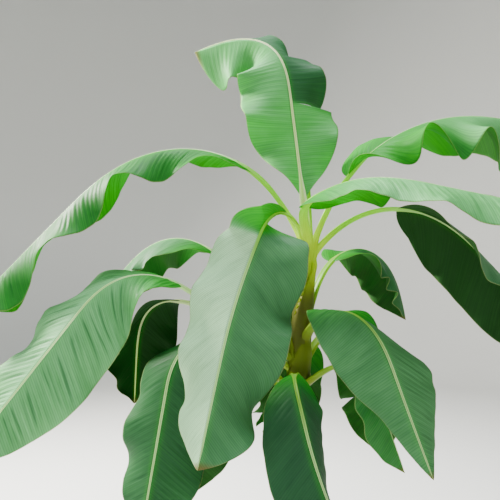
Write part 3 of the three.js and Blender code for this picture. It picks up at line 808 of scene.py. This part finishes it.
def make_stalk(leaf, material):
    low = sheath_end(leaf.height) - leaf.height
    top = leaf.stalk + leaf.blade
    rings_low = max(2, round(-(low + SHEATH_JOIN) / SHEATH_STEP))
    rings_top = round((top + SHEATH_JOIN) / STALK_STEP)
    places = np.concatenate([
        np.linspace(low, -SHEATH_JOIN, rings_low, endpoint=False),
        np.linspace(-SHEATH_JOIN, top, rings_top),
    ])

    def place_points(position, turn):
        opened = smooth(-position / SHEATH_JOIN)[:, None]
        return mix(stalk_points(leaf, position, turn), sheath_points(leaf, position, turn), opened)

    return lofted(f"stalk_{leaf.name}", places, SECTION_SIDES, place_points, material)


# %% [markdown]
# ## Materials
#
# Colours are written as the hex values a painter would pick from a screen, and one function turns
# them into the linear values that light is computed in. Another small function adds a node with its
# settings and links.

# %% Material helpers
def linear(hex_colour):
    channels = [int(hex_colour[i:i + 2], 16) / 255 for i in (1, 3, 5)]
    values = [c / 12.92 if c <= 0.04045 else ((c + 0.055) / 1.055) ** 2.4 for c in channels]
    return (*values, 1)


def add_node(material, kind, output=0, settings=None, **inputs):
    """Adds a node with its settings and links, and returns one of its outputs. An input's name is
    given with _ for a space, or as in_NUMBER for its index."""
    tree = material.node_tree
    node = tree.nodes.new("ShaderNode" + kind)
    for name, value in (settings or {}).items():
        setattr(node, name, value)
    for name, value in inputs.items():
        numbered = name.startswith("in_")
        socket = node.inputs[int(name[3:]) if numbered else name.replace("_", " ")]
        if isinstance(value, bpy.types.NodeSocket):
            tree.links.new(value, socket)
        else:
            socket.default_value = value
    return node.outputs[output] if len(node.outputs) else None


def new_material(name):
    material = bpy.data.materials.new(name)
    material.use_nodes = True
    material.node_tree.nodes.clear()
    print("material", name)
    return material


# %% [markdown]
# Every finish here is a base colour with more colours laid over it, each through a mask. A mask reads
# what the mesh carries or a pattern, and fades smoothly between two values. The masks of a finish
# stand in a table, where they can be tuned side by side.

# %% Colour layers and masks
def colour_layers(material, base, *layers):
    """Lays colours over a base, each where its mask is 1. A colour is a hex value or a socket."""
    def ready(colour):
        return linear(colour) if isinstance(colour, str) else colour

    for mask, over in layers:
        base = add_node(material, "Mix", 2, {"data_type": "RGBA"},
                        in_0=mask, in_6=ready(base), in_7=ready(over))
    return base


def smooth_masks(material, sources, rows):
    """One mask for each row: what it reads, where it begins and ends, and its strength there."""
    masks = {}
    for name, (source, begin, end, strength, end_strength) in rows.items():
        masks[name] = add_node(
            material, "MapRange", 0, {"interpolation_type": "SMOOTHSTEP"}, Value=sources[source],
            From_Min=begin, From_Max=end, To_Min=strength, To_Max=end_strength)
    return masks


# %% [markdown]
# Fibres and patches are noise on the piece's own UV map, stretched so that they follow the veins or
# the stalk. A living surface mixes two shaders: the skin that reflects, and a Translucent one for the
# light that comes through from behind. The streaks also raise the skin a little.

# %% Patterns and the living surface
FIBRE_BUMP = 0.001


def stretched_noise(material, surface, scale, detail, roughness):
    place = add_node(material, "Mapping", Vector=surface, Scale=scale)
    return add_node(material, "TexNoise", "Fac", {"noise_dimensions": "2D"},
                    Vector=place, Scale=1.0, Detail=detail, Roughness=roughness)


def blotches(material, scale, detail):
    """Round spots in the piece's own space, scale for each metre."""
    place = add_node(material, "TexCoord", "Object")
    return add_node(material, "TexNoise", "Fac", Vector=place, Scale=scale, Detail=detail, Roughness=0.6)


def living_surface(material, colour, glow, through, streak, roughness, ior):
    bump = add_node(material, "Bump", Strength=0.3, Distance=FIBRE_BUMP, Height=streak)
    skin = add_node(material, "BsdfPrincipled", Base_Color=colour, Roughness=roughness, IOR=ior,
                    Normal=bump)
    behind = add_node(material, "BsdfTranslucent", Color=glow, Normal=bump)
    both = add_node(material, "MixShader", in_0=through, in_1=skin, in_2=behind)
    add_node(material, "OutputMaterial", Surface=both)


# %% [markdown]
# A living banana blade is a thin waxy skin over parallel side veins. To the eye its upper side has a
# soft gloss under a pale bloom, its underside is duller, and light from behind comes through it in a
# vivid yellow green. Wax stops that light, so a pale blade glows less. The colour is laid up in
# layers: green by age and by painted shade, fine streaks, a bright seam along the midrib, wax in
# patches whose pale colour also paints the sheen of light on it, painted shade in the valleys between
# the pleats, a pale margin, a dry tip, and on top the thin dark lines between side veins. Real veins
# are 6 to 9 mm apart. The streaks are drawn at 9 mm and the lines at 11 mm, so that both show from
# three metres. The patches are 9 by 18 cm, as wax wears off where blades rub.

# %% Sizes and colours of a living blade
VEIN_SPACING = 0.009
VEIN_LENGTH = 0.9
PATCH_WIDTH = 0.09
PATCH_LENGTH = 0.18
LINE_SPACING = 0.011
LINE_WANDER = 2.5  # how far the streaks push a line aside, in radians
# the wax colour also paints the sheen of light on the blade
THIN_WAX_AND_SHEEN = 0.75  # wax between patches, as a share of the wax in them
PATCH_ROUGHNESS = (-0.05, 0.08)  # what is added to the roughness between patches and in them
# the sheen is painted into the pale wax colour rather than mirrored
BLADE_IOR = 1.2  # low, because the bloom scatters what a bare skin would mirror
# the palest wax colour, also a painted sheen on the palest blades
FROST_AND_SHEEN = "#baecb4"
MARGIN_COLOUR = "#bccb7c"
DRY_COLOUR = "#8a7440"
YOUNG_GLOW = ("#4ccc04", "#2c9c02")  # between veins and on them
OLD_GLOW = ("#1a5014", "#0c300c")
BLADE_MASKS = dict(
    streaks=("streak", 0.35, 0.7, 0, 0.15),
    glow_veins=("streak", 0.35, 0.7, 0, 0.6),
    near_rib=("from_rib", 0.004, 0.03, 0.5, 0),
    # the frost lays the palest wax where the bloom is high, also as painted sheen
    frost_and_sheen=("bloom", 0.7, 1.2, 0, 1),
    through=("bloom", 0.2, 1, 0.5, 0.2),
    # painted shade: the valleys between the pleats are darkened by their relief
    painted_valley_shade=("relief", -0.9, 0.1, 0.5, 0),
    margin=("from_margin", 0.0015, 0.004, 0.6, 0),
    dry_tip=("from_tip", 0.005, 0.04, 0.9, 0),
)


# %% [markdown]
# The streaks and the patches are noise. The lines are a sine wave along the midrib that the streaks
# push aside. A Wave texture could draw them, but its own distortion wouldn't follow the streaks.

# %% What the masks of a blade read
def blade_sources(material):
    """What the masks of a blade read: attributes of its mesh, distances on it and patterns."""
    surface = add_node(material, "UVMap", settings={"uv_map": "veins"})
    sources = {
        name: add_node(material, "Attribute", "Fac", {"attribute_name": name})
        for name in ("age", "bloom", "relief", "from_margin", "from_tip")
    }
    along = add_node(material, "SeparateXYZ", "X", Vector=surface)
    out = add_node(material, "SeparateXYZ", "Y", Vector=surface)
    streak = stretched_noise(material, surface, (1 / VEIN_SPACING, 1 / VEIN_LENGTH, 1), 2.0, 0.5)
    patch = stretched_noise(material, surface, (1 / PATCH_WIDTH, 1 / PATCH_LENGTH, 1), 3.0, 0.6)
    steps = add_node(material, "Math", 0, {"operation": "MULTIPLY"},
                     in_0=along, in_1=2 * math.pi / LINE_SPACING)
    wander = add_node(material, "Math", 0, {"operation": "MULTIPLY"}, in_0=streak, in_1=LINE_WANDER)
    phase = add_node(material, "Math", 0, {"operation": "ADD"}, in_0=steps, in_1=wander)
    sources["line"] = add_node(material, "Math", 0, {"operation": "SINE"}, in_0=phase)
    sources["from_rib"] = add_node(material, "Math", 0, {"operation": "ABSOLUTE"}, in_0=out)
    sources["streak"] = streak
    sources["patch"] = patch
    return sources


# %% [markdown]
# Both sides of a blade share one recipe. The underside has less wax, weaker lines and a rougher skin.

# %% Upper side and underside of a living blade
# waxy is the bloom's colour, which also paints the sheen of light on it
def leaf_blade(name, deep, fresh, waxy, wax_and_sheen, lines, roughness):
    material = new_material(name)
    sources = blade_sources(material)
    masks = smooth_masks(material, sources, dict(
        BLADE_MASKS,
        lines=("line", 0.1, 1, 0, lines),
        patches=("patch", 0.3, 0.7, THIN_WAX_AND_SHEEN * wax_and_sheen, wax_and_sheen),
        roughness=("patch", 0.3, 0.7, *[roughness + added for added in PATCH_ROUGHNESS]),
    ))
    # the wax layer is also a painted sheen, and the valleys layer is painted shade
    on_wax_and_sheen = add_node(material, "Math", 0, {"operation": "MULTIPLY"},
                      in_0=sources["bloom"], in_1=masks["patches"])
    wax_and_sheen_colour = colour_layers(material, waxy, (masks["frost_and_sheen"], FROST_AND_SHEEN))
    colour = colour_layers(
        material, fresh, (sources["age"], deep), (masks["streaks"], deep), (masks["near_rib"], fresh),
        (on_wax_and_sheen, wax_and_sheen_colour), (masks["painted_valley_shade"], deep), (masks["margin"], MARGIN_COLOUR),
        (masks["dry_tip"], DRY_COLOUR), (masks["lines"], deep))
    young, old = [
        colour_layers(material, between, (masks["glow_veins"], on_veins))
        for between, on_veins in (YOUNG_GLOW, OLD_GLOW)
    ]
    glow = colour_layers(material, young, (sources["age"], old))
    living_surface(material, colour, glow, masks["through"], sources["streak"], masks["roughness"],
                   BLADE_IOR)
    return material


# the upper side's pale wax colour is also its painted sheen
BLADE_UPPER = leaf_blade(
    "living leaf, waxy upper side with painted sheen", deep="#194630", fresh="#2aa014", waxy="#92e498", wax_and_sheen=0.9,
    lines=0.3, roughness=0.5)
BLADE_UNDER = leaf_blade(
    "living leaf, dull underside", deep="#1f5020", fresh="#2e9410", waxy="#98c888", wax_and_sheen=0.2,
    lines=0.2, roughness=0.6)

# %% [markdown]
# The stalk is smooth and waxy: to the eye a satin, bright yellow green that pales along the midrib,
# with a greener channel that is also painted darker as shade in the groove, and some light comes
# through it. Lower down it turns into the sheath, which dries from green to brown with dark spots as
# the stem ages, and its darker colour just below the foot is partly painted shade under the crown.
# The colour follows the distance from the stalk's foot, and fine streaks follow its fibres. Real
# fibres are under a millimetre apart, and the streaks are drawn about 3 mm apart at the foot, so that
# they show. Low leaves are older and stand in shade, and their stalks are duller and painted darker
# for that shade, and two leaves have stalks that the sun has bleached to cream.

# %% Leaf stalk and sheath
STREAK_LENGTH = 0.3
STREAKS_AROUND = 60
CHANNEL_MIDDLE = 0.75  # where the channel's floor lies around the section
STALK_THROUGH = 0.3
STALK_IOR = 1.3
STALK_GLOW = "#d4ff00"
FIBRE_COLOUR = "#6a7a2c"
SPOT_COLOUR = "#4a3520"
SPOTS_PER_METRE = 22.0
STALK_MASKS = dict(
    # below the foot the sheath darkens to its low colour, partly as painted shade under the crown
    green=("from_foot", -0.25, -0.04, 0, 1),
    stalk=("from_foot", 0, 0.25, 0, 1),
    rib=("from_foot", 0.35, 0.7, 0, 1),
    fibres=("streak", 0.45, 0.75, 0, 0.3),
    # the channel's darker colour is partly painted shade in the groove
    hollow=("from_floor", 0.08, 0.15, 0.75, 0),
    has_channel=("from_foot", 0, 0.2, 0, 1),
    spots=("blotch", 0.58, 0.66, 0, 1),
    low_down=("from_foot", -0.35, -0.05, 0.8, 0),
    roughness=("from_foot", -0.3, 0.05, 0.65, 0.38),
)


def leaf_stalk(name, low, foot, middle, far, channel):
    material = new_material(name)
    surface = add_node(material, "UVMap", settings={"uv_map": "streaks"})
    streak = stretched_noise(material, surface, (1 / STREAK_LENGTH, STREAKS_AROUND, 1), 3.0, 0.6)
    around = add_node(material, "SeparateXYZ", "Y", Vector=surface)
    beside = add_node(material, "Math", 0, {"operation": "SUBTRACT"}, in_0=around, in_1=CHANNEL_MIDDLE)
    sources = dict(
        from_foot=add_node(material, "Attribute", "Fac", {"attribute_name": "from_foot"}),
        from_floor=add_node(material, "Math", 0, {"operation": "ABSOLUTE"}, in_0=beside),
        streak=streak,
        blotch=blotches(material, SPOTS_PER_METRE, 4.0),
    )
    masks = smooth_masks(material, sources, STALK_MASKS)
    in_channel = add_node(material, "Math", 0, {"operation": "MULTIPLY"},
                          in_0=masks["hollow"], in_1=masks["has_channel"])
    spotted = add_node(material, "Math", 0, {"operation": "MULTIPLY"},
                       in_0=masks["spots"], in_1=masks["low_down"])
    # the low and channel layers are partly painted shade
    colour = colour_layers(
        material, low, (masks["green"], foot), (masks["stalk"], middle), (masks["rib"], far),
        (masks["fibres"], FIBRE_COLOUR), (in_channel, channel), (spotted, SPOT_COLOUR))
    living_surface(material, colour, linear(STALK_GLOW), STALK_THROUGH, streak, masks["roughness"],
                   STALK_IOR)
    return material


STALK = leaf_stalk(
    "living leaf stalk, waxy", low="#6c6a2c", foot="#e0ff00", middle="#84dc00", far="#cef0ac",
    channel="#86c460")
STALK_CREAM = leaf_stalk(
    "old leaf stalk, bleached", low="#8a8048", foot="#dcee50", middle="#e4e8bc", far="#dbe6b2",
    channel="#b0bc78")
# low stalks are older and stand in shade: their darker colours are partly painted shade
STALK_LOW_SHADED = leaf_stalk(
    "older leaf stalk, dull, with painted shade", low="#40401c", foot="#8c9a28", middle="#80b82c", far="#cef0ac",
    channel="#6e9c48")

# %% [markdown]
# Bare bases have dried to paper: to the eye matt and brown, with pale fibres that run along the stem
# and darker stains where rain stands. Real fibres are a millimetre or two apart. Here they are drawn
# 5 to 8 mm apart, with finer ones between, so that they show. The stem's core has the same build in
# a duller green and shows only in slits between the bases.

# %% Dry sheath and stem core
FIBRES_ALONG = 5  # for each metre
FIBRES_AROUND = 130
STAIN_COLOUR = "#3d2a1a"
STAINS_PER_METRE = 9.0
DRY_BUMP = 0.0015
DRY_MASKS = dict(
    fibres=("streak", 0.3, 0.7, 0, 1),
    stains=("blotch", 0.45, 0.7, 0, 0.6),
)


def dry_sheath(name, brown, tan):
    material = new_material(name)
    surface = add_node(material, "UVMap", settings={"uv_map": "streaks"})
    streak = stretched_noise(material, surface, (FIBRES_ALONG, FIBRES_AROUND, 1), 4.0, 0.65)
    sources = dict(streak=streak, blotch=blotches(material, STAINS_PER_METRE, 3.0))
    masks = smooth_masks(material, sources, DRY_MASKS)
    colour = colour_layers(material, brown, (masks["fibres"], tan), (masks["stains"], STAIN_COLOUR))
    bump = add_node(material, "Bump", Strength=0.5, Distance=DRY_BUMP, Height=streak)
    skin = add_node(material, "BsdfPrincipled", Base_Color=colour, Roughness=0.8, IOR=1.45, Normal=bump)
    add_node(material, "OutputMaterial", Surface=skin)
    return material


DRY_SHEATH = dry_sheath("dried leaf base, papery", "#6b5232", "#a88a58")
STEM_CORE = dry_sheath("stem core, fibrous", "#5c5a2e", "#8a8450")

# %% [markdown]
# ## Put the plant together
#
# One loop dresses every leaf. It makes the blade and the stalk, chooses the stalk's finish, lets
# both ride with the plant's one body and names the solids whose place they take.

# %% Blades and stalks
# stalks below this height get darker colours, partly as painted shade
LOW_STALK = 1.4  # stalks that leave the stem below this height are duller

for leaf in LEAVES:
    blade = make_blade(leaf, [BLADE_UPPER, BLADE_UNDER])
    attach(blade, "root")
    if leaf.lengths == 1:
        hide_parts(f"{leaf.name}_blade")
    else:
        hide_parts(f"{leaf.name}_blade_inner", f"{leaf.name}_blade_outer")
    young_stalk = STALK if leaf.height > LOW_STALK else STALK_LOW_SHADED
    stalk = make_stalk(leaf, STALK_CREAM if leaf.cream else young_stalk)
    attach(stalk, "root")
    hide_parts(f"{leaf.name}_stalk")
    print(leaf.name, "blade vertices", len(blade.data.vertices), "stalk vertices", len(stalk.data.vertices))

# %% [markdown]
# The stem of a banana plant is no wood but rolled leaf bases. Its core here is one plain round loft
# under all of them.

# %% Stem core
CORE_RINGS = 60
STEM_SIDES = 48
CORE_CLEARANCE = 0.001
CORE_BELOW_TOP = 0.01


def core_points(position, turn):
    angle = 2 * math.pi * turn
    radius = stem_radius(position) - LAYER * LAYERS / 2 - CORE_CLEARANCE
    around = np.stack([np.cos(angle) * radius, np.sin(angle) * radius, 0 * radius], axis=-1)
    return stem_centre(position) + around


core_places = np.linspace(0, STEM_HEIGHT - CORE_BELOW_TOP, CORE_RINGS)
core = lofted("stem_core", core_places, STEM_SIDES, core_points, STEM_CORE)
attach(core, "root")
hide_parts("pseudostem")
print("stem core", round(core_places[-1], 3), "m high")

# %% [markdown]
# A bare base has lost its leaf and ends above in a dry tongue. It wraps the stem like the others, a
# little outside them. Its upper end narrows and stands off, and its edges are ragged.

# %% Bare bases
TONGUE_LENGTH = 0.2
TONGUE_WRAP = (4, 165)  # half angle at the tongue's end and further down
TONGUE_BLUNTNESS = 0.7  # below 1 the tongue widens faster
TONGUE_FLARE = 0.012
TONGUE_FLARE_LENGTH = 0.08
RAGGED_SHARE = 0.12
RAGGED_WAVES = (5, 9, 16)
BARE_STEP = 0.02


def make_bare_base(base, index):
    def place_points(position, turn):
        height = np.maximum(0, base.height + position)
        ragged = 1 + RAGGED_SHARE * drift(-position / base.height, index, RAGGED_WAVES)
        opened = smooth(-position / TONGUE_LENGTH) ** TONGUE_BLUNTNESS
        wrap = np.radians(mix(*TONGUE_WRAP, opened)) * ragged
        loose = TONGUE_FLARE * np.exp(position / TONGUE_FLARE_LENGTH)
        radius = sheath_radius(base.height, height) + LAYER + loose
        return wrapped_points(base, height, turn, radius, wrap)

    places = np.linspace(-base.height, 0, round(base.height / BARE_STEP))
    piece = lofted(f"bare_{base.name}", places, STEM_SIDES, place_points, DRY_SHEATH)
    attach(piece, "root")
    print(piece.name, "with", len(piece.data.vertices), "vertices")


for index, base in enumerate(BARE_BASES):
    make_bare_base(base, index)

# %% [markdown]
# ## Studio
#
# A pale floor that curves up into a round wall far behind keeps the plant on a plain ground from
# every side. Large soft lights stand in for a bright sky: the strongest is high on the left and a
# little behind, so that light comes through the raised blades.

# %% Floor
FLOOR_RADIUS = 7.0
COVE_RADIUS = 2.5
COVE_STEPS = 12
WALL_HEIGHT = 14.0
STEPS_AROUND = 96
PAPER_COLOUR = "#dcdddb"


def make_stage():
    material = new_material("studio paper, matt")
    skin = add_node(material, "BsdfPrincipled", Base_Color=linear(PAPER_COLOUR), Roughness=0.9)
    add_node(material, "OutputMaterial", Surface=skin)
    bm = bmesh.new()
    profile = [bm.verts.new((0, 0, 0)), bm.verts.new((FLOOR_RADIUS, 0, 0))]
    for step in range(1, COVE_STEPS + 1):
        angle = math.pi / 2 * step / COVE_STEPS
        x = FLOOR_RADIUS + COVE_RADIUS * math.sin(angle)
        profile.append(bm.verts.new((x, 0, COVE_RADIUS * (1 - math.cos(angle)))))
    profile.append(bm.verts.new((FLOOR_RADIUS + COVE_RADIUS, 0, WALL_HEIGHT)))
    edges = [bm.edges.new(pair) for pair in zip(profile, profile[1:])]
    bmesh.ops.spin(bm, geom=profile + edges, cent=(0, 0, 0), axis=(0, 0, 1), angle=2 * math.pi,
                   steps=STEPS_AROUND, use_merge=True)
    bmesh.ops.remove_doubles(bm, verts=bm.verts, dist=VERY_SMALL)
    bmesh.ops.recalc_face_normals(bm, faces=bm.faces)
    stage = new_piece("studio_floor", bm, [material])
    print("floor", 2 * FLOOR_RADIUS, "m wide")


make_stage()

# %% [markdown]
# A disk of light in the sky is named for where it stands. It aims at the crown. A faint grey air
# lifts the shadows.

# %% Lights
CROWN = (0.1, 0, 1.6)
LIGHTS = [
    dict(name="sky_left", place=(-3.7, 1.5, 4.2), size=1.6, power=1350, colour="#fffaf0"),
    dict(name="sky_top", place=(-0.4, 0.6, 5.4), size=2.4, power=400, colour="#f4faff"),
    dict(name="fill_front", place=(-2.4, -4.6, 3.0), size=2.6, power=90, colour="#e4f0ff"),
]
AIR_COLOUR = "#e6ebee"
AIR_STRENGTH = 0.15


def add_light(name, place, size, power, colour):
    light = bpy.data.lights.new(name, "AREA")
    light.shape = "DISK"
    light.size = size
    light.energy = power
    light.color = linear(colour)[:3]
    lamp = bpy.data.objects.new(name, light)
    lamp.location = place
    lamp.rotation_euler = (Vector(CROWN) - Vector(place)).to_track_quat("-Z", "Y").to_euler()
    bpy.context.scene.collection.objects.link(lamp)


def add_world():
    world = bpy.data.worlds.new("studio air")
    world.use_nodes = True
    world.node_tree.nodes["Background"].inputs["Color"].default_value = linear(AIR_COLOUR)
    world.node_tree.nodes["Background"].inputs["Strength"].default_value = AIR_STRENGTH
    bpy.context.scene.world = world


add_world()
for light in LIGHTS:
    add_light(**light)
print(len(LIGHTS), "lights")
